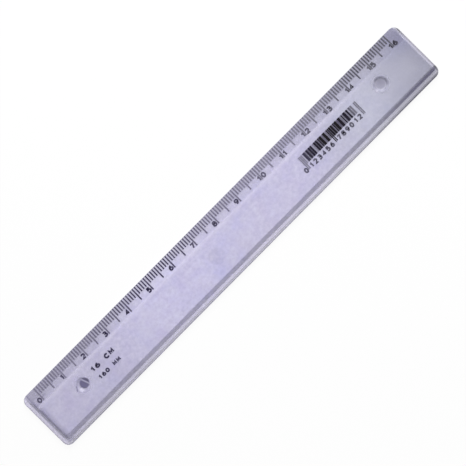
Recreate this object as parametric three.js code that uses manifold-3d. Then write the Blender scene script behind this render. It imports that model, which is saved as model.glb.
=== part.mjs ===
// A 16 centimetre pocket ruler: one clear moulded blade, with its scale, numerals and bars
// stamped on it in dark foil. Millimetres, +X along the scale from 0 to 16, +Y towards the
// scale edge, +Z up, origin on the flat underside at the middle of the blade.

import * as THREE from "three";
import { mergeVertices } from "three/addons/utils/BufferGeometryUtils.js";
import Module from "manifold-3d";

const wasm = await Module();
wasm.setup();

// Scale
const linePitch = 1; // from one line to the next
const divisionsPerHalf = 5;
const divisionsPerCentimetre = 10;
const centimetres = 16;
const zeroMargin = 5.7; // blade before the 0 line
const farMargin = 5.2; // blade after the 16 line

// Blade
const bladeWidth = 21.6;
const bladeThickness = 2.2;
const scaleEdgeThickness = 0.9;
const cornerRadius = 2.35;
const stepDrop = 1; // from the top face to the ledge
const plainLedge = 1.85; // flat ledge along the edge with no scale
const plainRamp = 1.3; // slope from that ledge up to the top face
const zeroLedge = 1.35; // the same round the zero end
const zeroRamp = 1.25;
const farLedge = 0.3; // the same at the far end
const farRamp = 0.8;
const topEdgeBreak = 0.3; // small bevel round the outer edge of the ledge
const bottomEdgeBreak = 0.15; // small bevel round the underside

// Dimples in the top face
const dimpleSpacing = 136.2;
const dimpleFromZero = 12.2;
const dimpleFromScaleEdge = 10.5;
const dimpleDiameter = 5;
const dimpleFloorDiameter = 3.6;
const dimpleDepth = 0.7;
const gateDiameter = 3.2; // stub of the moulding gate, in the first dimple
const gateHeight = 0.45;
const gateOffset = 0.8; // from the middle of the dimple, towards the far end
const ejectorDiameter = 5.5; // shallow round mark of the ejector pin, in the underside
const ejectorDepth = 0.06;
const ejectorFromZero = 72;
const ejectorFromScaleEdge = 12.1;

// Foil marks
const foilThickness = 0.05;
const foilSeat = 0.02; // from the plastic to the foil
const foilMargin = 0.1; // from the scale edge to the ends of the lines
const lineWidth = 0.42;
const millimetreLine = 2.85;
const halfLine = 4.75;
const centimetreLine = 5.15;
const edgeHairline = 0.12; // joins the lines of one centimetre at the scale edge
const numeralHeight = 1.7;
const numeralWidth = 1.35;
const numeralStroke = 0.4;
const numeralTouch = 0.06; // how far a numeral runs into its line
const numeralOverhang = 0.05; // how far a numeral reaches past the end of its line
const creaseMargin = 0.65; // from the foot of the numerals to the crease of the bevel

// Bars
const thinBarWidth = 0.272; // the other bars and the gaps are whole multiples of it
const barSpread = 0.07; // how much wider the foil comes out than the bar on the die
const barHeight = 3.35;
const guardHeight = 5.1;
const barsFromZero = 112.6;
const barsFromScaleEdge = 8.4;
const barHairline = 0.12; // joins the bars at their tops

const overrun = 2; // how far cuts run past what they cut
const cornerSteps = 8;
const dimpleSteps = 32;
const turnSteps = 16;

const scaleLength = centimetres * divisionsPerCentimetre * linePitch;
const bladeLength = zeroMargin + scaleLength + farMargin;
const zeroEnd = -bladeLength / 2;
const farEnd = bladeLength / 2;
const plainEdge = -bladeWidth / 2;
const scaleEdge = bladeWidth / 2;
const zeroLine = zeroEnd + zeroMargin;
const ledgeThickness = bladeThickness - stepDrop;
const lineEnd = foilMargin + centimetreLine;
const numeralFoot = lineEnd + numeralOverhang;
const bevelFace = numeralFoot + creaseMargin;
const bevelAngle = Math.asin((bladeThickness - scaleEdgeThickness) / bevelFace);
const bevelWidth = bevelFace * Math.cos(bevelAngle);

const plastic = new THREE.MeshStandardMaterial({
  color: 0xc8c4e0,
  roughness: 0.15,
  metalness: 0,
  transparent: true,
  opacity: 0.6,
  name: "clear_plastic",
});
const foil = new THREE.MeshStandardMaterial({
  color: 0x3c3a4e,
  roughness: 0.45,
  metalness: 0,
  name: "dark_foil",
});

// A closed geometry as a solid for cutting and joining.
function solidOf(geometry) {
  const bare = geometry.index ? geometry.toNonIndexed() : geometry.clone();
  bare.deleteAttribute("normal");
  bare.deleteAttribute("uv");
  const merged = mergeVertices(bare);
  return new wasm.Manifold(
    new wasm.Mesh({
      numProp: 3,
      vertProperties: new Float32Array(merged.attributes.position.array),
      triVerts: new Uint32Array(merged.index.array),
    }),
  );
}

// A solid back as a flat-shaded geometry.
function geometryOf(solid) {
  const mesh = solid.getMesh();
  const geometry = new THREE.BufferGeometry();
  geometry.setAttribute("position", new THREE.BufferAttribute(mesh.vertProperties, mesh.numProp));
  geometry.setIndex(new THREE.BufferAttribute(mesh.triVerts, 1));
  const faceted = geometry.toNonIndexed();
  faceted.computeVertexNormals();
  return faceted;
}

function joined(solids) {
  return solids.reduce((all, one) => all.add(one));
}

// A rectangle with rounded corners, as points anticlockwise from the zero end of the plain edge.
// inset is how far each side lies inside the blade's outline, radii follow the corners.
function bladeRing(inset, radii) {
  const left = zeroEnd + inset.zero;
  const right = farEnd - inset.far;
  const lower = plainEdge + inset.plain;
  const upper = scaleEdge - inset.scale;
  const corners = [
    { x: left + radii[0], y: lower + radii[0] },
    { x: right - radii[1], y: lower + radii[1] },
    { x: right - radii[2], y: upper - radii[2] },
    { x: left + radii[3], y: upper - radii[3] },
  ];
  return corners.flatMap((corner, i) =>
    Array.from({ length: cornerSteps + 1 }, (_, step) => {
      const angle = Math.PI + ((i + step / cornerSteps) * Math.PI) / 2;
      return new THREE.Vector2(
        corner.x + radii[i] * Math.cos(angle),
        corner.y + radii[i] * Math.sin(angle),
      );
    }),
  );
}

// Rings one above the other, joined into a closed solid.
function stackOfRings(levels) {
  const points = levels.flatMap(({ z, ring }) => ring.map((p) => new THREE.Vector3(p.x, p.y, z)));
  const count = levels[0].ring.length;
  const faces = [];
  for (let level = 0; level + 1 < levels.length; level += 1) {
    for (let i = 0; i < count; i += 1) {
      const a = level * count + i;
      const b = level * count + ((i + 1) % count);
      faces.push(a, b, b + count, a, b + count, a + count);
    }
  }
  const top = (levels.length - 1) * count;
  THREE.ShapeUtils.triangulateShape(levels[0].ring, []).forEach(([a, b, c]) => faces.push(a, c, b));
  THREE.ShapeUtils.triangulateShape(levels.at(-1).ring, []).forEach(([a, b, c]) =>
    faces.push(top + a, top + b, top + c),
  );
  const geometry = new THREE.BufferGeometry().setFromPoints(points);
  geometry.setIndex(faces);
  return solidOf(geometry);
}

// The lower half of the blade: the full outline up to the ledge, its outer edges broken.
function ledgePlate() {
  const even = (by) => ({ zero: by, far: by, plain: by, scale: by });
  const ring = (by) => bladeRing(even(by), Array(4).fill(cornerRadius - by));
  return stackOfRings([
    { z: 0, ring: ring(bottomEdgeBreak) },
    { z: bottomEdgeBreak, ring: ring(0) },
    { z: ledgeThickness - topEdgeBreak, ring: ring(0) },
    { z: ledgeThickness, ring: ring(topEdgeBreak) },
  ]);
}

// The upper half: from the ledges, up the ramps, to the top face.
function raisedPlate() {
  const foot = { zero: zeroLedge, far: farLedge, plain: plainLedge, scale: farLedge };
  const top = {
    zero: foot.zero + zeroRamp,
    far: foot.far + farRamp,
    plain: foot.plain + plainRamp,
    scale: foot.scale + farLedge,
  };
  const radii = [
    cornerRadius - zeroLedge,
    farLedge,
    cornerRadius - farLedge,
    cornerRadius - zeroLedge,
  ];
  return stackOfRings([
    { z: bottomEdgeBreak, ring: bladeRing(foot, radii) },
    { z: ledgeThickness, ring: bladeRing(foot, radii) },
    { z: bladeThickness, ring: bladeRing(top, radii) },
  ]);
}

// All that lies above the scale bevel, as a wedge along the whole blade.
function aboveBevel() {
  const slope = new THREE.Vector2(Math.cos(bevelAngle), -Math.sin(bevelAngle));
  const crease = new THREE.Vector2(scaleEdge - bevelWidth, bladeThickness);
  const high = crease.clone().addScaledVector(slope, -overrun);
  const low = crease.clone().addScaledVector(slope, bevelFace + overrun);
  const section = new THREE.Shape([high, low, new THREE.Vector2(low.x, high.y)]);
  const length = bladeLength + 2 * overrun;
  const wedge = new THREE.ExtrudeGeometry(section, { depth: length, bevelEnabled: false });
  const alongX = new THREE.Matrix4().makeBasis(
    new THREE.Vector3(0, 1, 0),
    new THREE.Vector3(0, 0, 1),
    new THREE.Vector3(1, 0, 0),
  );
  wedge.applyMatrix4(alongX);
  wedge.translate(zeroEnd - overrun, 0, 0);
  return solidOf(wedge);
}

// A solid turned about a vertical axis at x, y. The profile holds radius and height pairs.
function turned(profile, x, y) {
  const points = profile.map(([radius, z]) => new THREE.Vector2(radius, z));
  const lathe = new THREE.LatheGeometry(points, dimpleSteps);
  lathe.rotateX(Math.PI / 2);
  lathe.translate(x, y, 0);
  return solidOf(lathe);
}

function disc(diameter, low, high, x, y) {
  const profile = [
    [0, low],
    [diameter / 2, low],
    [diameter / 2, high],
    [0, high],
  ];
  return turned(profile, x, y);
}

function dimple(x, y) {
  const floor = bladeThickness - dimpleDepth;
  const flare = (dimpleDiameter - dimpleFloorDiameter) / 2 / dimpleDepth;
  const profile = [
    [0, floor],
    [dimpleFloorDiameter / 2, floor],
    [dimpleDiameter / 2 + flare * overrun, bladeThickness + overrun],
    [0, bladeThickness + overrun],
  ];
  return turned(profile, x, y);
}

function blade() {
  const dimpleY = scaleEdge - dimpleFromScaleEdge;
  const firstX = zeroLine + dimpleFromZero;
  const floor = bladeThickness - dimpleDepth;
  const gate = disc(
    gateDiameter,
    floor - gateHeight,
    floor + gateHeight,
    firstX + gateOffset,
    dimpleY,
  );
  const ejectorMark = disc(
    ejectorDiameter,
    -overrun,
    ejectorDepth,
    zeroLine + ejectorFromZero,
    scaleEdge - ejectorFromScaleEdge,
  );
  return ledgePlate()
    .add(raisedPlate())
    .subtract(aboveBevel())
    .subtract(dimple(firstX, dimpleY))
    .subtract(dimple(firstX + dimpleSpacing, dimpleY))
    .add(gate)
    .subtract(ejectorMark);
}

// A flat piece of foil with its outline in the XY plane.
function foilOf(shape) {
  return solidOf(new THREE.ExtrudeGeometry(shape, { depth: foilThickness, bevelEnabled: false }));
}

function foilBox(x0, x1, y0, y1) {
  const corners = [
    new THREE.Vector2(x0, y0),
    new THREE.Vector2(x1, y0),
    new THREE.Vector2(x1, y1),
    new THREE.Vector2(x0, y1),
  ];
  return foilOf(new THREE.Shape(corners));
}

// A straight stroke of a numeral, with square ends.
function strokeLine(x0, y0, x1, y1) {
  const along = new THREE.Vector2(x1 - x0, y1 - y0).normalize();
  const side = new THREE.Vector2(-along.y, along.x).multiplyScalar(numeralStroke / 2);
  const from = new THREE.Vector2(x0, y0);
  const to = new THREE.Vector2(x1, y1);
  const corners = [
    from.clone().sub(side),
    to.clone().sub(side),
    to.clone().add(side),
    from.clone().add(side),
  ];
  return foilOf(new THREE.Shape(corners));
}

// A curved stroke: part of an elliptical ring, from one angle to the other in turns.
function strokeArc(cx, cy, rx, ry, fromTurn, toTurn) {
  const steps = Math.ceil(Math.abs(toTurn - fromTurn) * turnSteps);
  const rim = (grow) =>
    Array.from({ length: steps + 1 }, (_, i) => {
      const angle = 2 * Math.PI * (fromTurn + ((toTurn - fromTurn) * i) / steps);
      return new THREE.Vector2(
        cx + (rx + grow) * Math.cos(angle),
        cy + (ry + grow) * Math.sin(angle),
      );
    });
  const outer = rim(numeralStroke / 2);
  const inner = rim(-numeralStroke / 2);
  if (Math.abs(toTurn - fromTurn) < 1) {
    return foilOf(new THREE.Shape([...outer, ...inner.reverse()]));
  }
  const ring = new THREE.Shape(outer.slice(1));
  ring.holes.push(new THREE.Path(inner.slice(1).reverse()));
  return foilOf(ring);
}

// The middle lines of the strokes run between these.
const glyphLeft = numeralStroke / 2;
const glyphRight = numeralWidth - numeralStroke / 2;
const glyphFoot = numeralStroke / 2;
const glyphHead = numeralHeight - numeralStroke / 2;
const waistShare = 0.54; // height of the waist of 3, 5, 6, 8 and 9
const glyphWaist = glyphFoot + waistShare * (glyphHead - glyphFoot);

// The round strokes lie on ellipses, and their ends are given as turns round them from +X.
const middleX = numeralWidth / 2;
const bowlWidth = (glyphRight - glyphLeft) / 2;
const tall = { y: numeralHeight / 2, height: (glyphHead - glyphFoot) / 2 };
const lower = { y: (glyphFoot + glyphWaist) / 2, height: (glyphWaist - glyphFoot) / 2 };
const upper = { y: (glyphWaist + glyphHead) / 2, height: (glyphHead - glyphWaist) / 2 };
const wholeTurn = 1;
const mouthTurn = 0.42; // open end of the bowls of 2, 3 and 5
const noseTurn = 0.27; // inner end of the bowls of 3
const shoulderTurn = 0.36; // start of the bowl of 5
const neckTurn = 0.12; // end of the upper bowl of 2
const hookStartTurn = 0.29; // the hook of 6 climbs between these two
const hookEndTurn = 0.5;

function bowl(oval, fromTurn, toTurn) {
  return strokeArc(middleX, oval.y, bowlWidth, oval.height, fromTurn, toTurn);
}

function zero() {
  return [bowl(tall, 0, wholeTurn)];
}

function one() {
  return [
    strokeLine(middleX, 0, middleX, numeralHeight),
    strokeLine(glyphLeft, upper.y, middleX, glyphHead),
    strokeLine(0, glyphFoot, numeralWidth, glyphFoot),
  ];
}

function two() {
  const neck = -2 * Math.PI * neckTurn;
  const neckX = middleX + bowlWidth * Math.cos(neck);
  const neckY = upper.y + upper.height * Math.sin(neck);
  return [
    bowl(upper, -neckTurn, mouthTurn),
    strokeLine(glyphLeft, glyphFoot, neckX, neckY),
    strokeLine(0, glyphFoot, numeralWidth, glyphFoot),
  ];
}

function three() {
  return [bowl(upper, -noseTurn, mouthTurn), bowl(lower, -mouthTurn, noseTurn)];
}

function four() {
  const postX = glyphRight - numeralStroke / 2;
  return [
    strokeLine(postX, 0, postX, numeralHeight),
    strokeLine(postX, glyphHead, glyphLeft, lower.y),
    strokeLine(0, lower.y, numeralWidth, lower.y),
  ];
}

function five() {
  return [
    bowl(lower, -mouthTurn, shoulderTurn),
    strokeLine(glyphLeft, lower.y + lower.height / 2, glyphLeft, numeralHeight),
    strokeLine(glyphLeft, glyphHead, numeralWidth, glyphHead),
  ];
}

function six() {
  const climb = glyphHead - lower.y;
  const hook = strokeArc(
    glyphRight,
    lower.y,
    2 * bowlWidth,
    climb,
    hookStartTurn,
    hookEndTurn,
  );
  return [bowl(lower, 0, wholeTurn), hook];
}

function seven() {
  return [
    strokeLine(0, glyphHead, numeralWidth, glyphHead),
    strokeLine(glyphRight, glyphHead, middleX - numeralStroke / 2, 0),
  ];
}

function eight() {
  return [bowl(lower, 0, wholeTurn), bowl(upper, 0, wholeTurn)];
}

// A 6 turned upside down.
function nine() {
  return six().map((solid) =>
    solid.rotate([0, 0, 180]).translate([numeralWidth, numeralHeight, 0]),
  );
}

const numerals = [zero, one, two, three, four, five, six, seven, eight, nine];

// A numeral beside a line: side is -1 to end on the line's left face, 1 to begin on its right.
function numeral(digit, side) {
  const glyph = joined(numerals[digit]());
  const box = glyph.boundingBox();
  const reach = lineWidth / 2 - numeralTouch;
  const shift = side < 0 ? -reach - box.max[0] : reach - box.min[0];
  return glyph.translate([shift, -numeralFoot, 0]);
}

// The number beside a centimetre line: one digit before it, or a digit on each side.
function number(centimetre) {
  const digits = String(centimetre).split("").map(Number);
  const sides = [-1, 1];
  return digits.map((digit, i) => numeral(digit, sides[i]));
}

function scaleLine(x, length) {
  const end = foilMargin + length;
  return foilBox(x - lineWidth / 2, x + lineWidth / 2, -end, -foilMargin);
}

// The lines up to one centimetre line, with that line and its number. The first has none before it.
function centimetreMarks(centimetre) {
  const pieces = [scaleLine(0, centimetreLine), ...number(centimetre)];
  if (centimetre === 0) {
    return joined(pieces);
  }
  for (let i = 1; i < divisionsPerCentimetre; i += 1) {
    pieces.push(scaleLine(-i * linePitch, i === divisionsPerHalf ? halfLine : millimetreLine));
  }
  const first = -(divisionsPerCentimetre - 1) * linePitch;
  pieces.push(foilBox(first, 0, -foilMargin - edgeHairline, -foilMargin));
  return joined(pieces);
}

// Widths of the bars and of the gaps after them, in thin bars. The pattern stands for nothing.
const guardShares = [1, 1, 1, 1];
const quarterShares = [1, 2, 3, 2, 2, 2, 2, 1, 2, 4];
const otherQuarterShares = [2, 1, 2, 2, 1, 1, 3, 3, 3, 3];

// The bars as one comb: each hangs from a hairline that joins their heads.
function bars() {
  const runs = [
    guardShares,
    [...quarterShares, ...otherQuarterShares],
    guardShares,
    [...otherQuarterShares, ...quarterShares],
    guardShares,
  ];
  const teeth = [];
  let x = 0;
  runs.forEach((run, part) => {
    const foot = part % 2 ? -barHeight : -guardHeight;
    for (let i = 0; i < run.length; i += 2) {
      const left = x - barSpread / 2;
      const right = x + run[i] * thinBarWidth + barSpread / 2;
      teeth.push(
        new THREE.Vector2(left, -barHairline),
        new THREE.Vector2(left, foot),
        new THREE.Vector2(right, foot),
        new THREE.Vector2(right, -barHairline),
      );
      x += (run[i] + run[i + 1]) * thinBarWidth;
    }
  });
  const heads = [new THREE.Vector2(teeth.at(-1).x, 0), new THREE.Vector2(teeth[0].x, 0)];
  return foilOf(new THREE.Shape([...teeth.slice(1, -1), ...heads]));
}

const ruler = new THREE.Group();

const bladeMesh = new THREE.Mesh(geometryOf(blade()), plastic);
bladeMesh.name = "blade";
ruler.add(bladeMesh);

// The bevel face, with its X axis along the scale edge from the 0 line and +Z out of the plastic.
const bevel = new THREE.Group();
bevel.position.set(zeroLine, scaleEdge, scaleEdgeThickness);
bevel.rotation.x = -bevelAngle;
ruler.add(bevel);

for (let centimetre = 0; centimetre <= centimetres; centimetre += 1) {
  const marks = new THREE.Mesh(geometryOf(centimetreMarks(centimetre)), foil.clone());
  marks.name = "centimetre_marks_" + String(centimetre).padStart(2, "0");
  marks.position.set(centimetre * divisionsPerCentimetre * linePitch, 0, foilSeat);
  bevel.add(marks);
}

const barMesh = new THREE.Mesh(geometryOf(bars()), foil.clone());
barMesh.name = "bars";
barMesh.position.set(
  zeroLine + barsFromZero,
  scaleEdge - barsFromScaleEdge,
  bladeThickness + foilSeat,
);
ruler.add(barMesh);

export default ruler;
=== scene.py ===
import math

import bpy
import numpy as np
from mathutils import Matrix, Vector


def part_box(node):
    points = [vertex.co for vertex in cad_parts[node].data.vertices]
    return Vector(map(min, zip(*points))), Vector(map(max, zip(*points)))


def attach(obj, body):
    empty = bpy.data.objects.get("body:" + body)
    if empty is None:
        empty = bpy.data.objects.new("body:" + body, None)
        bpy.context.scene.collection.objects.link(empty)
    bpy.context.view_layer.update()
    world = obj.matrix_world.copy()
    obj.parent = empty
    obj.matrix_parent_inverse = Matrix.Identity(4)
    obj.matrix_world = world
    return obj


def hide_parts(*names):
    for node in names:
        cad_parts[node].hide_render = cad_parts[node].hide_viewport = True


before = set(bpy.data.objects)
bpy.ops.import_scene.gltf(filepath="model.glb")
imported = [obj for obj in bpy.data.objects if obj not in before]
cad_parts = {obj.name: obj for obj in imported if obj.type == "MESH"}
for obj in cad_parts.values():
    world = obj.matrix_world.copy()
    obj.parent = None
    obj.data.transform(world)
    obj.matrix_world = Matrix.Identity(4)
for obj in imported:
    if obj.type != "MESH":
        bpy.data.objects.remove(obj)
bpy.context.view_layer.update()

# The blade is the whole ruler but for its print: one strip of clear polystyrene, injection
# moulded. Its raised face falls by a bevel to the scale edge and by short slopes to a low
# ledge on the other sides, and the mould left two dimples and the stub of its gate in it.
MM = 0.001
blade_low, blade_high = (np.array(corner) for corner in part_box("blade"))
middle = (blade_low[:2] + blade_high[:2]) / 2
half_size = (blade_high[:2] - blade_low[:2]) / 2
thickness = blade_high[2]
corner_radius = 2.35 * MM
edge_break = 0.3 * MM  # bevel round the outer edge of the ledge
top_rounding, bottom_rounding = 0.12 * MM, 0.15 * MM
crease_rounding = 0.05 * MM  # height over which two faces run into each other
corner_easing = 1.2 * MM  # the same for two slopes that meet at a corner
step_drop = 1.0 * MM
ledge_height = thickness - step_drop
scale_edge_thickness = 0.9 * MM
bevel_face = 5.95 * MM
bevel_angle = math.asin((thickness - scale_edge_thickness) / bevel_face)
bevel_width = bevel_face * math.cos(bevel_angle)
plain_ledge, plain_ramp = 1.85 * MM, 1.3 * MM
zero_ledge, zero_ramp = 1.35 * MM, 1.25 * MM
far_ledge, far_ramp = 0.3 * MM, 0.8 * MM
zero_line = blade_low[0] + 5.7 * MM
dimple_y = blade_high[1] - 10.5 * MM
gate_dimple_x = zero_line + 12.2 * MM
far_dimple_x = gate_dimple_x + 136.2 * MM
dimple_radius, dimple_depth = 2.5 * MM, 0.7 * MM
gate_floor_radius, far_floor_radius = 1.0 * MM, 1.6 * MM  # the gate's dimple has the softer wall
stub_x = gate_dimple_x + 0.8 * MM
stub_radius, stub_height, stub_wall = 1.6 * MM, 0.45 * MM, 0.14 * MM
ridge_x, ridge_half, ridge_height = stub_x + 0.5 * MM, 0.4 * MM, 0.12 * MM  # where the gate tore off
ridge_lean = 0.4  # how far the ridge leans along the blade for each step across it
pin_x, pin_y = zero_line + 72 * MM, blade_high[1] - 12.1 * MM
pin_radius, pin_depth, pin_wall = 2.75 * MM, 0.06 * MM, 0.2 * MM


def divided(stops):
    """Places along a line. Each stop is a place and how many even steps lead to it from the last."""
    ends = zip(stops, stops[1:])
    places = [np.linspace(a, b, steps, endpoint=False) for (a, _), (b, steps) in ends]
    return np.concatenate([*places, [stops[-1][0]]])


def lower_of(a, b, rounding):
    """The lower of two heights, rounded where they come within the rounding of each other:
    b + (a - b)s - rounding s(1 - s), where s rises from 0 to 1 as a falls below b."""
    s = np.clip(0.5 + (b - a) / (2 * rounding), 0, 1)
    return b + (a - b) * s - rounding * s * (1 - s)


def eased(share):
    """A share held within 0 and 1, with level ends: 3s² - 2s³."""
    s = np.clip(share, 0, 1)
    return s * s * (3 - 2 * s)


def from_outline(x, y):
    """Distance inwards from the outline, a rectangle with round corners: the radius less the
    distance to the nearest point of the rectangle that the corners' middles make."""
    beyond_x = (np.abs(x - middle[0]) - half_size[0] + corner_radius).clip(0)
    beyond_y = (np.abs(y - middle[1]) - half_size[1] + corner_radius).clip(0)
    return corner_radius - np.hypot(beyond_x, beyond_y)


def past_ridge(x, y):
    """How far a place lies along the blade beyond the ridge across the stub."""
    return x - ridge_x + ridge_lean * (y - dimple_y)


def plate_height(x, y):
    """Height of the raised face over x, y, before the bevel: each side is a plane that climbs
    inwards from its ledge, the lowest of them counts, and it is held between the ledge and the
    top face. The edge break is one more plane, which falls outwards."""
    from_zero, from_far = x - blade_low[0], blade_high[0] - x
    from_plain = y - blade_low[1]
    ends = np.minimum(
        step_drop * (from_zero - zero_ledge) / zero_ramp,
        step_drop * (from_far - far_ledge) / far_ramp,
    )
    side = step_drop * (from_plain - plain_ledge) / plain_ramp
    climb = lower_of(ends, side, corner_easing)
    climb = -lower_of(-climb, 0 * climb, crease_rounding)
    height = ledge_height + lower_of(climb, step_drop, crease_rounding)
    return lower_of(height, ledge_height + from_outline(x, y) - edge_break, crease_rounding)


def top_height(x, y):
    """Height of the top face over x, y: the lower of the raised face and the bevel's plane. The
    dimples are eased cones, and the stub is an eased disc with a ridge across it."""
    bevel = scale_edge_thickness + (blade_high[1] - y) * math.tan(bevel_angle)
    height = lower_of(plate_height(x, y), bevel, crease_rounding)
    for dimple_x, floor_radius in ((gate_dimple_x, gate_floor_radius), (far_dimple_x, far_floor_radius)):
        radius = np.hypot(x - dimple_x, y - dimple_y)
        height -= dimple_depth * eased((dimple_radius - radius) / (dimple_radius - floor_radius))
    ridge = ridge_height * (1 - eased(np.abs(past_ridge(x, y)) / ridge_half))
    lift = (thickness - dimple_depth + stub_height + ridge - height).clip(0)
    from_stub = np.hypot(x - stub_x, y - dimple_y)
    return height + lift * eased((stub_radius + stub_wall / 2 - from_stub) / stub_wall)


def bottom_height(x, y):
    """Height of the underside: flat at 0, with the shallow eased disc of the ejector pin."""
    radius = np.hypot(x - pin_x, y - pin_y)
    return pin_depth * eased((pin_radius - radius) / pin_wall)


# Lines of the grid across and along the blade, close together where the surface turns. A
# line in a corner is given by the middle of the corner's arc and a share of its radius.
arc_steps = 14
arc_turn = np.linspace(0, np.pi / 2, arc_steps, endpoint=False)
end_zone, dimple_zone, crease_zone = 3.2 * MM, 2.9 * MM, 0.35 * MM
row_band = 3.2 * MM  # rows nearer than this to an edge are drawn in round the corners
edge_zone = 1.6 * MM  # rows on the bevel are closest within this of the scale edge
along = divided([
    (blade_low[0] + corner_radius, 0),
    (blade_low[0] + end_zone, 9),
    (gate_dimple_x - dimple_zone, 10),
    (gate_dimple_x + dimple_zone, 48),
    (pin_x - pin_radius - pin_wall, 34),
    (pin_x + pin_radius + pin_wall, 34),
    (far_dimple_x - dimple_zone, 84),
    (far_dimple_x + dimple_zone, 44),
    (blade_high[0] - end_zone, 12),
    (blade_high[0] - corner_radius, 9),
])
across = divided([
    (blade_low[1] + top_rounding, 0),
    (blade_low[1] + edge_break + crease_zone / 2, 5),
    (blade_low[1] + plain_ledge + plain_ramp + crease_zone, 30),
    (pin_y - pin_radius - pin_wall, 5),
    (dimple_y - dimple_zone, 10),
    (dimple_y + dimple_zone, 46),
    (blade_high[1] - bevel_width - crease_zone, 3),
    (blade_high[1] - bevel_width + crease_zone, 10),
    (blade_high[1] - edge_zone, 26),
    (blade_high[1] - top_rounding, 14),
])
arc_share = np.concatenate([-np.cos(arc_turn), 0 * along, np.cos(arc_turn[::-1])])
arc_middle = np.pad(along, arc_steps, mode="edge")


def plate_grid(inset):
    """The grid of x, y over the blade's outline drawn in by inset: lines across the blade run
    from edge to edge, and rows near an edge are squeezed inwards to follow the corner's arc."""
    radius = corner_radius - inset
    x = arc_middle + radius * arc_share
    reach = half_size[1] - corner_radius + radius * np.sqrt(1 - arc_share**2)
    row = across - middle[1]
    inner, outer = half_size[1] - row_band, half_size[1] - top_rounding
    beyond = (np.abs(row) - inner).clip(0) / (outer - inner)
    y = np.clip(row, -inner, inner) + np.sign(row) * beyond * (reach[:, None] - inner)
    return np.broadcast_to(x[:, None], y.shape), y + middle[1]


def rim_of(grid):
    """The values round the grid's edge, anticlockwise seen from above."""
    return np.concatenate([grid[:-1, 0], grid[-1, :-1], grid[:0:-1, -1], grid[0, :0:-1]])


def grid_faces(numbers):
    """Four-sided faces between the numbered points of a grid, facing up."""
    a, b, c, d = numbers[:-1, :-1], numbers[1:, :-1], numbers[1:, 1:], numbers[:-1, 1:]
    return np.stack([a, b, c, d], -1).reshape(-1, 4)


def band_faces(upper, lower):
    """Four-sided faces between two closed rings of points, facing out."""
    return np.stack([upper, lower, np.roll(lower, -1), np.roll(upper, -1)], -1)


def new_piece(name, points, faces, smooth=True):
    """A mesh object at the origin from arrays of points and faces."""
    mesh = bpy.data.meshes.new(name)
    mesh.from_pydata(np.reshape(points, (-1, 3)), [], np.asarray(faces).tolist())
    mesh.polygons.foreach_set("use_smooth", np.full(len(mesh.polygons), smooth))
    mesh.update()
    piece = bpy.data.objects.new(name, mesh)
    bpy.context.scene.collection.objects.link(piece)
    return piece


def give_share(piece, share, values):
    """Keeps a value for each point of a piece under a name that its material reads."""
    attribute = piece.data.attributes.new(share, "FLOAT", "POINT")
    attribute.data.foreach_set("value", np.asarray(values, np.float32))


top_x, top_y = plate_grid(top_rounding)
top_z = top_height(top_x, top_y)
bottom_x, bottom_y = plate_grid(bottom_rounding)
bottom_z = bottom_height(bottom_x, bottom_y)
rim_xy = np.stack([rim_of(top_x), rim_of(top_y)], -1)
inner_half = half_size - corner_radius
rim_middle = middle + np.clip(rim_xy - middle, -inner_half, inner_half)
rim_out = (rim_xy - rim_middle) / (corner_radius - top_rounding)
rim_z = rim_of(top_z)[:, None]


def rim_ring(inset, height):
    """A ring round the wall, drawn in by inset from the outline."""
    return np.hstack([rim_middle + rim_out * (corner_radius - inset), height + 0 * rim_z])


rounding_steps = 5
turns = np.linspace(0, np.pi / 2, rounding_steps + 1)
rings = [
    rim_ring(top_rounding * (1 - np.sin(t)), rim_z - top_rounding * (1 - np.cos(t))) for t in turns[1:]
] + [
    rim_ring(bottom_rounding * (1 - np.cos(t)), bottom_rounding * (1 - np.sin(t))) for t in turns[:-1]
]
top_numbers = np.arange(top_x.size).reshape(top_x.shape)
ring_numbers = top_x.size + np.arange(len(rings) * len(rim_xy)).reshape(len(rings), -1)
bottom_numbers = ring_numbers[-1, -1] + 1 + top_numbers
loops = [rim_of(top_numbers), *ring_numbers, rim_of(bottom_numbers)]
blade_points = np.concatenate([
    np.stack([top_x, top_y, top_z], -1).reshape(-1, 3),
    *rings,
    np.stack([bottom_x, bottom_y, bottom_z], -1).reshape(-1, 3),
])
blade_faces = np.concatenate([
    grid_faces(top_numbers),
    *[band_faces(upper, lower) for upper, lower in zip(loops, loops[1:])],
    grid_faces(bottom_numbers)[:, ::-1],
])
blade = new_piece("clear_blade", blade_points, blade_faces)

# What the plastic shows from place to place, kept as shares that its material reads, most of
# them painted shade and painted highlights. Slopes that look towards the zero end and the plain
# edge turn the light aside and are painted dark, and thin places have less tint. A run, or a pair
# of shares, holds where a change starts and ends.
x, y, z = blade_points.T
on_top = np.arange(x.size) < top_x.size
from_zero, from_far = x - blade_low[0], blade_high[0] - x
from_plain, from_scale = y - blade_low[1], blade_high[1] - y
from_rim = from_outline(x, y)


def rising(value, run):
    """A share that is 0 up to the start of a run and 1 past its end, eased between them."""
    start, end = run
    return eased((value - start) / (end - start))


def falling(value, run):
    """A share that is 1 up to the start of a run and 0 past its end, eased between them."""
    return 1 - rising(value, run)


def bell(value, centre, reach):
    """A share that is 1 at its centre, and e to the power of minus the square of the distance
    over the reach elsewhere."""
    return np.exp(-(((value - centre) / reach) ** 2))


def spot(spot_x, spot_y, reach):
    """A soft round spot on the blade: a bell along it times a bell across it."""
    return bell(x, spot_x, reach) * bell(y, spot_y, reach)


probe = 0.25 * MM  # a slope is felt this far to each side


def climb(height_over):
    """How steeply a height climbs along x and along y: the differences over twice the probe,
    divided by the square root of two, so that their sum is the climb towards the lamp."""
    ahead = height_over(x + probe, y) - height_over(x - probe, y)
    aside = height_over(x, y + probe) - height_over(x, y - probe)
    return ahead / (2 * probe) / math.sqrt(2), aside / (2 * probe) / math.sqrt(2)


# Painted shade and painted highlights follow the lamp: faces that look away from it are painted dark,
# faces that look towards it pale.
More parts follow.
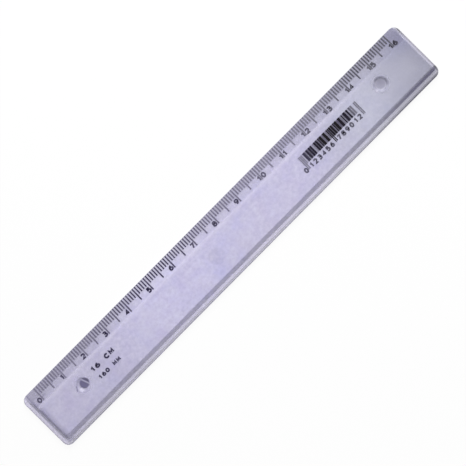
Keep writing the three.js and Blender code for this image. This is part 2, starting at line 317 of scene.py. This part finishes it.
darkest_climb, lightest_climb = 0.35, 0.8
zero_lip_run = 0.5 * MM, 0.8 * MM  # no slope is dark before this, in from the zero end
top_climb = sum(climb(top_height))
end_climb = climb(plate_height)[0]  # the slopes at the ends go on under the bevel
turned_away = eased(np.maximum(top_climb, end_climb) / darkest_climb) * rising(from_zero, zero_lip_run)
turned_to = eased(-np.minimum(top_climb, end_climb) / lightest_climb)

# The dimples: painted shade darkens each wall on its two sides along the blade, and the far
# dimple's floor. A painted glint lies low on the left in each, and the gate's has a dark dash above it.
in_far = x > middle[0]
out_x, out_y = x - np.where(in_far, far_dimple_x, gate_dimple_x), y - dimple_y
out = np.hypot(out_x, out_y).clip(probe)
beside_dimples = rising(out, (dimple_radius + probe, dimple_radius + 2 * probe))
faint_highlight_run, faint_highlight_share = (2 * MM, 6 * MM), 0.7  # painted highlights on the slopes are fainter near the scale edge
turned_to *= beside_dimples * (1 - faint_highlight_share * falling(from_scale, faint_highlight_run))
turned_away *= beside_dimples

wall_reach = 0.6 * MM
gate_wall = 1.9 * MM, 0.15, 0.36  # its middle, and how dark its far and its near side are
far_wall = 2.1 * MM, 0.35, 0.42
wall_middle, far_side, near_side = (np.where(in_far, far, gate) for far, gate in zip(far_wall, gate_wall))
facing_shares = 0.87, 0.5  # of x and y in the direction of a dimple's far side
far_side_cosines, near_side_cosines = (-0.3, 0.4), (-0.5, 0)  # of the angle from that direction
facing_far_end = (facing_shares[0] * out_x + facing_shares[1] * out_y) / out
far_side = far_side * rising(facing_far_end, far_side_cosines)
near_side = near_side * falling(facing_far_end, near_side_cosines)
wall_dark = bell(out, wall_middle, wall_reach) * np.maximum(far_side, near_side)

far_floor_run = 1.3 * MM, 2.1 * MM
floor_shade_spot, floor_shade_reach = 0.4 * MM, 1.3 * MM  # how far right and up it lies, and its reach
far_floor = 0.4 * in_far * falling(out, far_floor_run)
far_floor += 0.16 * spot(far_dimple_x + floor_shade_spot, dimple_y + floor_shade_spot, floor_shade_reach)

dash_right, dash_up = -2.28 * MM, 0.26 * MM  # from the middle of the gate's dimple
dash_width_run, dash_length_run = (0.09 * MM, 0.24 * MM), (0.75 * MM, 1.05 * MM)
lean_shares = 0.85, 0.53  # of y and of x in the dash's direction
dash_x, dash_y = out_x - dash_right, out_y - dash_up
dark_dash = falling(np.abs(lean_shares[0] * dash_x - lean_shares[1] * dash_y), dash_width_run)
dark_dash *= falling(np.abs(lean_shares[1] * dash_x + lean_shares[0] * dash_y), dash_length_run) * (1 - in_far)

gate_glint = gate_dimple_x - 1.6 * MM, dimple_y - 0.9 * MM, 0.7 * MM  # place and reach
far_glint = far_dimple_x - 2.45 * MM, dimple_y - 0.65 * MM, 0.5 * MM
glint = 0.12 * spot(*gate_glint) + 0.6 * spot(*far_glint)

# Painted shade on the slope and the ledge of the plain edge. Towards the far end the slope is
# painted darker, and its upper half paler, so that it looks narrower there.
far_run, narrow_run = (35 * MM, 85 * MM), (50 * MM, 80 * MM)  # along x
palest_x, palest_reach = 5 * MM, 32 * MM
far_lip_run = 0.9 * MM, 1.3 * MM
pale_shares, foot_shares, head_shares = (0.5, 0.9), (0, 0.3), (0.8, 1.1)  # of the way up the slope
up_ramp = (from_plain - plain_ledge) / plain_ramp
far_share, narrowed = rising(x, far_run), rising(x, narrow_run)
palest = bell(x, palest_x, palest_reach)
ramp_dark = 0.35 + 0.36 * far_share + 0.21 * narrowed - 0.06 * palest
ramp_pale = (0.45 * far_share + 0.35 * narrowed) * rising(up_ramp, pale_shares)
ramp_end = narrowed * rising(up_ramp, foot_shares) * falling(up_ramp, head_shares)
ramp_end *= 1 - 0.3 * rising(from_far, far_lip_run)
turned_to *= 1 - ramp_end
off_zero_corner = from_zero > 2 * zero_ledge
ledge_dark = 0.22 * narrowed * (up_ramp < 0) * off_zero_corner

# Painted shade on the face inside the ends, where the slopes' shade fades out, and in the inner
# corner of the ledges.
zero_fade_run, ramp_fade_run = (1.5 * MM, 4.3 * MM), (4.5 * MM, 7.5 * MM)
far_fade_run = far_ledge + far_ramp, far_ledge + far_ramp + 6 * MM
corner_run = 2.6 * MM, 5.2 * MM
corner_start_run, corner_rim_run = (zero_ledge, zero_ledge + 0.5 * MM), (0.7 * MM, 1.1 * MM)
inside_ends = (from_zero > zero_ledge + zero_ramp / 2) * (from_far > far_ledge + far_ramp / 2)
inside_ends = inside_ends * (up_ramp > 0.5)
zero_fade = 0.82 * falling(from_zero, zero_fade_run)
far_fade = 0.2 * falling(from_far, far_fade_run)
ramp_fade = (0.03 + 0.09 * narrowed) * falling(from_plain, ramp_fade_run)
zero_corner = 0.42 * falling(from_zero, corner_run) * (up_ramp < 0.2)
zero_corner *= rising(from_zero, corner_start_run) * rising(from_rim, corner_rim_run)

# Painted shade on the bevel: light round the 5 and dark past the 16, and between the lines it
# stands for the foil's shadow. Painted shade also darkens the slope of the far end along its middle.
CM = 10 * MM
least_shade_place, least_shade_reach = 5.5, 2.2  # in centimetres along the scale, as the next four are
last_line_run, past_last_run = (16.02, 16.05), (16.02, 16.08)
first_numbers_run, last_numbers_run = (2, 5), (12, 15)
lines_foot_run, dark_run = (2.9 * MM, 3.4 * MM), (10 * MM, 80 * MM)
crease_run = bevel_width - 0.4 * MM, bevel_width + 0.3 * MM
far_end_run = 0.5 * MM, 1.5 * MM
slope_start_run, slope_stop_run = (0.4 * MM, 0.7 * MM), (MM, 1.3 * MM)
along_scale = (x - zero_line) / CM
among_lines = falling(along_scale, last_line_run) * falling(from_scale, lines_foot_run)
bevel_band = (0.19 + 0.21 * among_lines) * (1 - 0.85 * bell(along_scale, least_shade_place, least_shade_reach))
bevel_band += 0.22 * rising(x, dark_run) + 0.24 * rising(along_scale, past_last_run)
bevel_band += 0.06 * falling(along_scale, first_numbers_run)
bevel_band -= 0.07 * rising(along_scale, last_numbers_run)
bevel_band *= falling(from_scale, crease_run) * rising(from_far, far_end_run)
bevel_band *= rising(from_zero, (zero_ledge, zero_ledge + zero_ramp))
far_slope = 0.42 * rising(from_far, slope_start_run) * falling(from_far, slope_stop_run)

# Small marks: the torn stub in painted shade, lighter along its ridge and at its foot, with a
# painted shadow that it drops, the print of the ejector pin and a soft dark spot right of the 0.
stub_run = stub_radius - 0.2 * MM, stub_radius + 0.3 * MM
pin_run = pin_radius - 0.4 * MM, pin_radius + 0.4 * MM
stub_foot_run = -1.3 * MM, -0.3 * MM  # across the blade, from the middle of the dimple
zero_dark_spot = zero_line + 0.5 * MM, blade_high[1] - 3.9 * MM, MM
on_stub = falling(np.hypot(x - stub_x, out_y), stub_run)
ridge_shares, beyond_ridge_shares = (0, 1), (0.4, 1.4)  # of half the ridge's width
beyond = past_ridge(x, y) / ridge_half
on_ridge, beyond_ridge = falling(np.abs(beyond), ridge_shares), rising(beyond, beyond_ridge_shares)
stub_foot = falling(out_y, stub_foot_run)  # the light end of the stub
stub_shade = (0.95 - 0.6 * on_ridge) * (1 - 0.65 * stub_foot * np.maximum(beyond_ridge, on_ridge))
stub_shadow = 0.45 * on_stub * beyond_ridge * (1 - stub_foot)
pin_mark = falling(np.hypot(x - pin_x, y - pin_y), pin_run)
pin_mark *= 0.13 - 0.07 * rising(x, (pin_x, pin_x + pin_radius))

# The darkest of these counts at each place, but the stub has only its own shade.
shade = np.max([
    ramp_dark * (1 - ramp_pale) * turned_away,
    0.85 * ramp_end,
    zero_fade * inside_ends,
    far_fade * inside_ends,
    ramp_fade * inside_ends,
    zero_corner,
    ledge_dark,
    bevel_band,
    far_slope,
    wall_dark,
    far_floor,
    0.85 * dark_dash,
    pin_mark,
    0.75 * spot(*zero_dark_spot),
], axis=0)
shade += (stub_shade - shade) * on_stub
give_share(blade, "shade", np.where(on_top, shade, 0.3 * (z > bottom_rounding)))

# Painted highlights: lines along the crease, on the zero end's ledge, on slopes towards the light,
# in the dimples and on the ledge of the plain edge.
crease_above_run, crease_below_run = (0, 1.2 * MM), (-0.9 * MM, 0)
zero_glow_run, ledge_glow_run = (zero_ledge - 0.2 * MM, zero_ledge + 0.1 * MM), (0.9 * MM, 1.1 * MM)
past_crease = from_scale - bevel_width
crease_glow = falling(past_crease, crease_above_run) * rising(past_crease, crease_below_run)
give_share(blade, "shine", on_top * np.max([
    crease_glow * (0.45 - 0.43 * far_share) * inside_ends,
    0.7 * falling(from_zero, zero_glow_run),
    0.35 * turned_to,
    glint * (1 - on_stub),
    0.5 * palest * rising(from_plain, ledge_glow_run) * (up_ramp < 0),
], axis=0))

# The rims: thin and worn dull all round but on the bevel, with painted grey shade along the plain
# edge and the far end. Painted shade of a cold tone lies in the corner past the 16.
worn_run, plain_rim_run, far_rim_run = (0.7 * MM, 1.2 * MM), (0.65 * MM, 1.05 * MM), (0.5 * MM, MM)
grey_line, grey_reach = 0.73 * MM, 0.2 * MM
cold_run, cold_foot_run = (far_dimple_x, far_dimple_x + 15 * MM), (5 * MM, 12 * MM)
worn_rim = falling(from_rim, worn_run) * (from_scale > bevel_width)
plain_rim_shade = 0.72 * far_share * falling(from_plain, plain_rim_run)
plain_rim_shade += 0.45 * (1 - far_share) * bell(from_plain, grey_line, grey_reach)
far_rim_shade = falling(from_far, far_rim_run)
cold_shade = 0.33 * rising(x, cold_run) * falling(from_scale, cold_foot_run)
give_share(blade, "thin", np.where(on_top, np.maximum(1 - z / thickness, 0.9 * worn_rim), 0.3))
give_share(blade, "matte", on_top * np.maximum(worn_rim, 0.8 * (1 - beside_dimples)))
give_share(blade, "rim_shade", on_top * np.maximum(plain_rim_shade * off_zero_corner, far_rim_shade))
give_share(blade, "cold_shade", on_top * cold_shade)


def colour(hex_code):
    """An sRGB hex colour as linear values with full alpha."""
    shares = [int(hex_code[i : i + 2], 16) / 255 for i in (1, 3, 5)]
    return [s / 12.92 if s <= 0.04045 else ((s + 0.055) / 1.055) ** 2.4 for s in shares] + [1]


def add_node(tree, kind, settings=None, **links):
    """Adds a node, sets its properties, and fills its inputs with values or other nodes' outputs.
    An input is named as on the node, with underscores for spaces, or by number after "at"."""
    node = tree.nodes.new(kind)
    for name, value in (settings or {}).items():
        setattr(node, name, value)
    for name, value in links.items():
        key = int(name[2:]) if name[:2] == "at" else name.replace("_", " ")
        if isinstance(value, bpy.types.NodeSocket):
            tree.links.new(value, node.inputs[key])
        else:
            node.inputs[key].default_value = value
    return node


def new_material(name):
    """A new material and its tree, which is still empty."""
    material = bpy.data.materials.new(name)
    material.use_nodes = True
    material.node_tree.nodes.clear()
    return material, material.node_tree


# Clear polystyrene, injection moulded in a polished tool: glassy, with a pale lavender tint that
# is not quite even, and scuffed by years of use. Painted shade darkens and greys it towards both ends.
ripple_size, ripple_depth, ripple_stretch = MM, 0.01 * MM, 4.0  # left by the flow along the blade
polish_size, polished_roughness, scuffed_roughness, worn_roughness = 2.5 * MM, 0.17, 0.25, 0.55
patch_tones = [  # size, largest share and tone of the patches in the tint
    (14 * MM, 1.0, "#dedcfe"),
    (8 * MM, 0.3, "#dccadf"),
    (3.5 * MM, 0.75, "#ebe8ff"),
    (1.2 * MM, 0.42, "#b5b0d0"),
]
end_shade_tones = [  # where a tone starts and is whole along the blade, its share and the tone
    (-30 * MM, -64 * MM, 0.3, "#b6b2c4"),
    (-20 * MM, 4 * MM, 0.15, "#bebacd"),
    (30 * MM, 60 * MM, 0.35, "#ccd4d9"),
    (48 * MM, blade_high[0] + 3 * MM, 1.0, "#acacbe"),
]
# Of these, only the thin tint is the plastic's own: the others are painted shade, painted shadow and
# painted highlights.
kept_tones = {  # the tone of each share that the blade keeps
    "thin": "#dbd9e0",
    "cold_shade": "#7d82b6",
    "shade": "#4a4470",
    "rim_shade": "#4e4d57",
    "shadow": "#3d3850",
    "shine": "#efeaff",
}
polystyrene, tree = new_material("clear_polystyrene")
rgb, smooth_step = {"data_type": "RGBA"}, {"interpolation_type": "SMOOTHSTEP"}
place = add_node(tree, "ShaderNodeTexCoord").outputs["Object"]


def uneven(tree, place, size, least, most):
    """A noise of patches about a size across. Its values lie mostly between 0.3 and 0.7, and
    are stretched to run from least to most."""
    noise = add_node(tree, "ShaderNodeTexNoise", Vector=place, Scale=1 / size, Detail=2.0, Roughness=0.6)
    return add_node(
        tree, "ShaderNodeMapRange", at0=noise.outputs[0], at1=0.3, at2=0.7, at3=least, at4=most
    ).outputs[0]


tint_shares = [(uneven(tree, place, size, 0.0, most), tone) for size, most, tone in patch_tones]
along_blade = add_node(tree, "ShaderNodeSeparateXYZ", Vector=place).outputs[0]
for start, end, most, tone in end_shade_tones:
    share = add_node(
        tree, "ShaderNodeMapRange", smooth_step, at0=along_blade, at1=start, at2=end, at3=0.0, at4=most
    )
    tint_shares.append((share.outputs[0], tone))
for name, tone in kept_tones.items():
    share = add_node(tree, "ShaderNodeAttribute", {"attribute_name": name})
    tint_shares.append((share.outputs["Fac"], tone))
tint = colour("#d2d0fd")
for share, tone in tint_shares:
    tint = add_node(tree, "ShaderNodeMix", rgb, at0=share, at6=tint, at7=colour(tone)).outputs[2]
matte = add_node(tree, "ShaderNodeAttribute", {"attribute_name": "matte"}).outputs["Fac"]
polish = uneven(tree, place, polish_size, polished_roughness, scuffed_roughness)
roughness = add_node(
    tree, "ShaderNodeMapRange", at0=matte, at1=0.0, at2=1.0, at3=polish, at4=worn_roughness
).outputs[0]
flow_place = add_node(tree, "ShaderNodeMapping", Vector=place, Scale=(1 / ripple_stretch, 1.0, 1.0))
flow = uneven(tree, flow_place.outputs[0], ripple_size, 0.0, 1.0)
ripple = add_node(tree, "ShaderNodeBump", Strength=0.5, Distance=ripple_depth, Height=flow).outputs[0]
surface = add_node(
    tree, "ShaderNodeBsdfPrincipled", Base_Color=tint, Roughness=roughness, Normal=ripple, IOR=1.59,
    Transmission_Weight=0.5,
)
add_node(tree, "ShaderNodeOutputMaterial", Surface=surface.outputs[0])
blade.data.materials.append(polystyrene)
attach(blade, "root")
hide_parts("blade")

# The scale is printed on the bevel: a line for each millimetre and a number for each
# centimetre, stamped in dark foil by a hot die. The die pressed hardest near the 5, less hard
# past the 13 and lightly elsewhere. Each centimetre's marks are one piece.
foil_seat, foil_thickness, foil_margin = 0.02 * MM, 0.05 * MM, 0.1 * MM
line_width = 0.46 * MM
centimetre_line, half_line, millimetre_line = 5.15 * MM, 4.75 * MM, 2.85 * MM
line_lengths = [centimetre_line, *[millimetre_line] * 4, half_line, *[millimetre_line] * 4]
numeral_size = np.array([1.6, 1.98]) * MM
numeral_stroke = 0.54 * MM
numeral_overhang = 0.05 * MM  # how far a numeral reaches past the end of its line
numeral_foot = foil_margin + centimetre_line + numeral_overhang
numeral_sink = 0.2 * MM  # from the 9 to the 13 the numerals come to stand this much lower
single_gap, double_gap = 0.38 * MM, 0.32 * MM  # from the middle of a line to its numerals

# Hot stamping foil: a film of pigment and binder, dull, grey where it is thin, nearly black
# where it is whole, with a violet cast that fades along the blade. It is worn in patches.
wear_size, wear_share = 5 * MM, 0.09
grain_size, grain_depth = 0.3 * MM, 0.01 * MM
greying_end = 75 * MM  # the violet cast is gone this far past the middle of the blade
blackest_shares = 0.95, 1.1  # of ink, over which the foil turns from nearly black to black
thin_tones, whole_tones = ("#9692a8", "#93929f"), ("#1c1538", "#1b1828")  # violet, and then grey
blackest_tone = "#09070c"
worn_foil_roughness, whole_foil_roughness = 0.65, 0.45
foil, tree = new_material("hot_stamping_foil")
place = add_node(tree, "ShaderNodeTexCoord").outputs["Object"]
wear = uneven(tree, place, wear_size, -wear_share, wear_share)
ink = add_node(tree, "ShaderNodeAttribute", {"attribute_name": "ink"}).outputs["Fac"]
cover = add_node(tree, "ShaderNodeMath", {"use_clamp": True}, at0=ink, at1=wear).outputs[0]
along_blade = add_node(tree, "ShaderNodeSeparateXYZ", Vector=place).outputs[0]
greyer = add_node(
    tree, "ShaderNodeMapRange", smooth_step, at0=along_blade, at1=0.0, at2=greying_end, at3=0.0, at4=1.0
).outputs[0]
thin_foil, whole_foil = (
    add_node(tree, "ShaderNodeMix", rgb, at0=greyer, at6=colour(violet), at7=colour(grey)).outputs[2]
    for violet, grey in (thin_tones, whole_tones)
)
pigment = add_node(tree, "ShaderNodeMix", rgb, at0=cover, at6=thin_foil, at7=whole_foil).outputs[2]
blackest = add_node(
    tree, "ShaderNodeMapRange", at0=ink, at1=blackest_shares[0], at2=blackest_shares[1]
).outputs[0]
pigment = add_node(
    tree, "ShaderNodeMix", rgb, at0=blackest, at6=pigment, at7=colour(blackest_tone)
).outputs[2]
dullness = add_node(
    tree, "ShaderNodeMapRange", at0=wear, at1=-wear_share, at2=wear_share, at3=worn_foil_roughness,
    at4=whole_foil_roughness,
).outputs[0]
grains = uneven(tree, place, grain_size, 0.0, 1.0)
grain = add_node(tree, "ShaderNodeBump", Strength=0.4, Distance=grain_depth, Height=grains).outputs[0]
surface = add_node(
    tree, "ShaderNodeBsdfPrincipled", Base_Color=pigment, Roughness=dullness, Normal=grain,
    Specular_IOR_Level=0.12,
)
add_node(tree, "ShaderNodeOutputMaterial", Surface=surface.outputs[0])

steepest_cosine = 0.6  # of half a bend: a sharper bend is widened no more than this one


def carried(path, width):
    """A flat stroke: a rectangle, width by the foil's thickness, carried along a path in x, y.
    At a bend the rectangle halves the angle, and is widened by one over its cosine."""
    path = np.array(path, float)
    closed = np.allclose(path[0], path[-1])
    path = path[: len(path) - closed]
    after = np.roll(path, -1, axis=0) - path
    after /= np.hypot(*after.T)[:, None]
    before = np.roll(after, 1, axis=0)
    if not closed:
        before[0], after[-1] = after[0], after[-2]
    ahead = before + after
    ahead /= np.hypot(*ahead.T)[:, None]
    widened = width / 2 / (ahead * after).sum(1).clip(steepest_cosine)
    out = np.stack([-ahead[:, 1], ahead[:, 0]], -1) * widened[:, None]
    low = np.full((len(path), 1), foil_seat)
    high = low + foil_thickness
    corners = [(path - out, low), (path - out, high), (path + out, high), (path + out, low)]
    points = np.stack([np.hstack(corner) for corner in corners], 1)
    here = np.arange(4 * len(path)).reshape(-1, 4)
    there = np.roll(here, -1, axis=0)
    sides = np.stack([here, np.roll(here, -1, 1), np.roll(there, -1, 1), there], -1)
    if closed:
        return points.reshape(-1, 3), sides.reshape(-1, 4)
    return points.reshape(-1, 3), np.vstack([sides[:-1].reshape(-1, 4), here[:1, ::-1], here[-1:]])


def arc(middle_x, middle_y, reach_x, reach_y, first, last):
    """Points of an ellipse from one turn to another, 0 at its right and 0.25 at its top."""
    steps = 2 + int(24 * abs(last - first))
    angle = 2 * np.pi * np.linspace(first, last, steps + 1)
    return np.stack([middle_x + reach_x * np.cos(angle), middle_y + reach_y * np.sin(angle)], -1)


# The middle line of each character's stroke, in shares of its width and height.
stroke_shares = {
    "0": arc(0.5, 0.5, 0.5, 0.5, 0, 1),
    "1": [(0.3, 0.74), (0.75, 1), (0.75, 0)],
    "2": [*arc(0.5, 0.7, 0.48, 0.3, 0.45, -0.09), (0, 0), (1, 0)],
    "3": [*arc(0.44, 0.77, 0.44, 0.23, 0.42, -0.25)[:-1], *arc(0.44, 0.27, 0.54, 0.27, 0.25, -0.42)],
    "4": [(0.74, 0), (0.74, 1), (0, 0.27), (1, 0.27)],
    "5": [(0.92, 1), (0.12, 1), (0.06, 0.53), *arc(0.46, 0.32, 0.5, 0.32, 0.33, -0.42)],
    "6": [(0.82, 1), *arc(0.98, 0.3, 0.96, 0.72, 0.34, 0.48), *arc(0.5, 0.3, 0.48, 0.3, 0.5, 1.45)],
    "7": [(0, 1), (1, 1), (0.35, 0)],
    "8": [*arc(0.5, 0.77, 0.42, 0.23, -0.25, 0.75)[:-1], *arc(0.5, 0.27, 0.5, 0.27, 0.25, -0.75)],
    "C": arc(0.55, 0.5, 0.55, 0.5, 0.12, 0.88),
    "M": [(0, 0), (0, 1), (0.5, 0.3), (1, 1), (1, 0)],
}
stroke_shares["9"] = 1 - np.array(stroke_shares["6"])


def text_line(text, left, foot, pitch, size, stroke, ink):
    """Strokes for a line of characters, each a pitch to the right of the last. A stroke is a
    path, a width and how much ink it holds."""
    strokes = []
    for i, letter in enumerate(text):
        if letter != " ":
            path = np.array(stroke_shares[letter]) * (size - stroke)
            corner = np.array([left + i * pitch, foot]) + stroke / 2
            strokes.append((path + corner, stroke, ink))
    return strokes


def printed(name, strokes, height, tilt):
    """A piece of print. Its strokes are drawn from where the 0 line meets the scale edge, and
    laid at a height there, on a face that is turned down towards that edge by tilt."""
    parts = [carried(path, width) for path, width, _ in strokes]
    starts = np.cumsum([0] + [len(points) for points, _ in parts])
    x, y, z = np.vstack([points for points, _ in parts]).T
    points = np.array([zero_line, blade_high[1], height]) + np.stack([
        x, y * math.cos(tilt) + z * math.sin(tilt), z * math.cos(tilt) - y * math.sin(tilt)
    ], -1)
    faces = np.vstack([numbers + start for (_, numbers), start in zip(parts, starts)])
    piece = new_piece(name, points, faces, smooth=False)
    give_share(piece, "ink", np.repeat([ink for _, _, ink in strokes], np.diff(starts)))
    piece.data.materials.append(foil)
    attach(piece, "root")
    return piece


# Where along the scale, in millimetres, the die pressed harder or stood lower.
hardest_line, line_reach, firm_run, last_run = 50.5, 22, (15, 75), (127, 145)
hardest_numeral, numeral_reach, last_numeral_run, sinking_run = 45, 21, (150, 160), (90, 130)
for centimetre in range(17):
    strokes = []
    for i, length in enumerate(line_lengths if centimetre else line_lengths[:1]):
        here = 10 * centimetre - i
        line_ink = 0.4 + 0.09 * rising(here, firm_run) + 0.28 * rising(here, last_run)
        line_ink += 0.47 * bell(here, hardest_line, line_reach)
        line = [(here * MM, -foil_margin - length), (here * MM, -foil_margin)]
        strokes.append((line, line_width, line_ink))
    here = 10 * centimetre
    numeral_ink = 0.76 + 0.24 * bell(here, hardest_numeral, numeral_reach)
    numeral_ink += 0.2 * rising(here, last_numeral_run)
    number = str(centimetre)
    digits = [np.array(stroke_shares[digit]) * (numeral_size - numeral_stroke) for digit in number]
    gap = (single_gap if len(number) == 1 else double_gap) + numeral_stroke / 2
    foot = numeral_foot + numeral_sink * rising(here, sinking_run)
    shifts = [-gap - digits[0][:, 0].max(), gap - digits[-1][:, 0].min()]
    for digit, shift in zip(digits, shifts):
        corner = [here * MM + shift, numeral_stroke / 2 - foot]
        strokes.append((digit + corner, numeral_stroke, numeral_ink))
    marks = printed(f"scale_marks_{centimetre:02d}", strokes, scale_edge_thickness, bevel_angle)
    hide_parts(f"centimetre_marks_{centimetre:02d}")

# The block of bars is stamped on the top face in the same foil. Its bars and gaps are whole
# multiples of one thin bar, the foil spreads a little on each, and the pattern stands for
# nothing. It is near black in the middle of the block and greyer at both ends.
thin_bar, bar_spread = 0.272 * MM, 0.07 * MM
bars_x, bars_head = 112.6 * MM, -8.4 * MM
bar_length, guard_length = 3.35 * MM, 5.1 * MM
guard_shares = [1, 1, 1, 1]
quarter_shares = [1, 2, 3, 2, 2, 2, 2, 1, 2, 4]
other_quarter_shares = [2, 1, 2, 2, 1, 1, 3, 3, 3, 3]
block = [
    (guard_shares, guard_length),
    (quarter_shares + other_quarter_shares, bar_length),
    (guard_shares, guard_length),
    (other_quarter_shares + quarter_shares, bar_length),
    (guard_shares[:3], guard_length),
]
run_ends = bars_x + thin_bar * np.cumsum([0] + [run for runs, _ in block for run in runs])
run_lengths = [length for runs, length in block for _ in runs]
bars_width = run_ends[-1] - bars_x
worn_start_shares, worn_end_shares = (0.05, 0.1), (0.84, 0.92)  # of the block's width
strokes = []
for left, right, length in zip(run_ends[::2], run_ends[1::2], run_lengths[::2]):
    centre = (left + right) / 2
    share = (centre - bars_x) / bars_width
    ink = 1.02 + 0.13 * bell(share, 0.5, 0.2)
    ink -= 0.6 * falling(share, worn_start_shares) + 0.58 * rising(share, worn_end_shares)
    bar = [(centre, bars_head - length), (centre, bars_head)]
    strokes.append((bar, right - left + bar_spread, ink))
bars = printed("bars_block", strokes, thickness, 0)
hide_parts("bars")

# Painted shadow: the shade that the bars cast on what lies under the clear plastic is painted into
# it, greying the gaps between them, and most where the bars are wide. A bar's shade has soft sides
# that run out over about half a millimetre, and a faint broad one lies round the whole block.
side_softness, end_softness, halo_reach = 0.55 * MM, 0.3 * MM, 11 * MM
pale_start_shares, pale_end_shares = (0.06, 0.13), (0.78, 0.9)  # of the block's width
past_zero = x - zero_line
past_middle_x = past_zero - bars_x - bars_width / 2
past_middle_y = y - blade_high[1] - bars_head + bar_length / 2
under_x = sum(
    (np.tanh((past_zero - left) / side_softness) - np.tanh((past_zero - right) / side_softness)) / 2
    for left, right in zip(run_ends[::2], run_ends[1::2])
)
under_y = falling(np.abs(past_middle_y), (bar_length / 2 - end_softness, bar_length / 2 + end_softness))
share = (past_zero - bars_x) / bars_width
pale_ends = falling(share, pale_start_shares) + rising(share, pale_end_shares)
under_bars = np.minimum(2.2 * under_x, 1) * under_y * (1 - 0.7 * pale_ends)
halo = 0.13 * bell(np.hypot(past_middle_x, past_middle_y), 0, halo_reach)
under_bars = np.maximum(under_bars, halo)
give_share(blade, "shadow", on_top * np.maximum(under_bars, stub_shadow))

# Plain counting digits stand below the bars: one before the block and six under each half.
digit_foot, digit_pitch = -14.05 * MM, 1.87 * MM
digit_size, digit_stroke, digit_ink = np.array([1.4, 1.85]) * MM, 0.5 * MM, 0.72
digit_groups = [("0", -1.5 * MM), ("123456", 0.95 * MM), ("789012", 13.6 * MM)]  # from the first bar
strokes = []
for text, past_bar in digit_groups:
    left = bars_x + past_bar
    strokes += text_line(text, left, digit_foot, digit_pitch, digit_size, digit_stroke, digit_ink)
printed("counting_digits", strokes, thickness, 0)

# The length of the scale is stamped beside the gate's dimple, in two lines.
length_lines = [  # text, left, foot, pitch, size and stroke in millimetres, and ink
    ("16 CM", 17.0, -10.3, 2.1, np.array([1.8, 1.8]), 0.55, 0.85),
    ("160 MM", 17.2, -13.6, 1.65, np.array([1.4, 1.5]), 0.45, 0.8),
]
strokes = []
for text, left, foot, pitch, size, stroke, ink in length_lines:
    strokes += text_line(text, left * MM, foot * MM, pitch * MM, size * MM, stroke * MM, ink)
printed("length_lettering", strokes, thickness, 0)

# A white table, a little below the underside so that the two faces stay apart. Where it is
# seen it is mostly an even white of its own, which leaves room for a faint shadow.
floor_half, floor_drop = 1.5, 0.03 * MM
corners = np.array([[-1, -1], [1, -1], [1, 1], [-1, 1]]) * floor_half
floor = new_piece("floor", [(x, y, -floor_drop) for x, y in corners], [(0, 1, 2, 3)], smooth=False)
white_table, tree = new_material("white_table")


def seen_share(tree):
    """1 where the camera looks straight at a place, or sees it in or through the plastic."""
    rays = add_node(tree, "ShaderNodeLightPath")
    seen = rays.outputs["Is Camera Ray"]
    for kind in ("Is Glossy Ray", "Is Transmission Ray"):
        seen = add_node(
            tree, "ShaderNodeMath", {"operation": "MAXIMUM"}, at0=seen, at1=rays.outputs[kind]
        ).outputs[0]
    return seen


white_share = 0.93
white = add_node(tree, "ShaderNodeMath", {"operation": "MULTIPLY"}, at0=seen_share(tree), at1=white_share)
plain = add_node(tree, "ShaderNodeBsdfDiffuse", Color=colour("#f8f8f8"))
glow = add_node(tree, "ShaderNodeEmission", Color=colour("#ffffff"), Strength=1.0)
both = add_node(
    tree, "ShaderNodeMixShader", at0=white.outputs[0], at1=plain.outputs[0], at2=glow.outputs[0]
)
add_node(tree, "ShaderNodeOutputMaterial", Surface=both.outputs[0])
floor.data.materials.append(white_table)

# The light: an even white surround, and a large soft lamp beyond the far end on the scale side.
surround_strength = 0.3
world = bpy.data.worlds.new("white_surround")
world.use_nodes = True
tree = world.node_tree
tree.nodes.clear()
strength = add_node(
    tree, "ShaderNodeMapRange", at0=seen_share(tree), at1=0.0, at2=1.0, at3=surround_strength, at4=1.0
)
sky = add_node(tree, "ShaderNodeBackground", Color=colour("#ffffff"), Strength=strength.outputs[0])
add_node(tree, "ShaderNodeOutputWorld", Surface=sky.outputs[0])
bpy.context.scene.world = world

camera_turn = math.radians(45.265)  # the ruler lies across the picture, its 16 at the upper right
picture_right = np.array([math.cos(camera_turn), -math.sin(camera_turn)])
picture_up = np.array([math.sin(camera_turn), math.cos(camera_turn)])
lamp_distance, lamp_climb, lamp_side, lamp_watts = 0.7, math.radians(33), 0.42, 7.0
lamp_data = bpy.data.lights.new("soft_lamp", "AREA")
lamp_data.shape = "SQUARE"
lamp_data.size = lamp_side
lamp_data.energy = lamp_watts
lamp = bpy.data.objects.new("soft_lamp", lamp_data)
away = np.append(picture_up * math.cos(lamp_climb), math.sin(lamp_climb))
lamp.location = away * lamp_distance
lamp.rotation_euler = (math.pi / 2 - lamp_climb, 0, math.pi - camera_turn)
bpy.context.scene.collection.objects.link(lamp)

# The camera looks straight down on the ruler.
picture_pixels, pixels_per_mm = 466, 3.109
off_centre = np.array([1.8, 3.1]) / pixels_per_mm * MM  # of the picture's middle, right and up
camera_height, sensor_width = 450 * MM, 36.0
camera_data = bpy.data.cameras.new("camera")
camera_data.sensor_width = sensor_width
camera_data.lens = sensor_width * (camera_height - thickness) / (picture_pixels / pixels_per_mm * MM)
camera = bpy.data.objects.new("camera", camera_data)
camera.location = (*(middle + picture_right * off_centre[0] + picture_up * off_centre[1]), camera_height)
camera.rotation_euler = (0, 0, -camera_turn)
bpy.context.scene.collection.objects.link(camera)
bpy.context.scene.camera = camera
bpy.context.scene.view_settings.view_transform = "Standard"
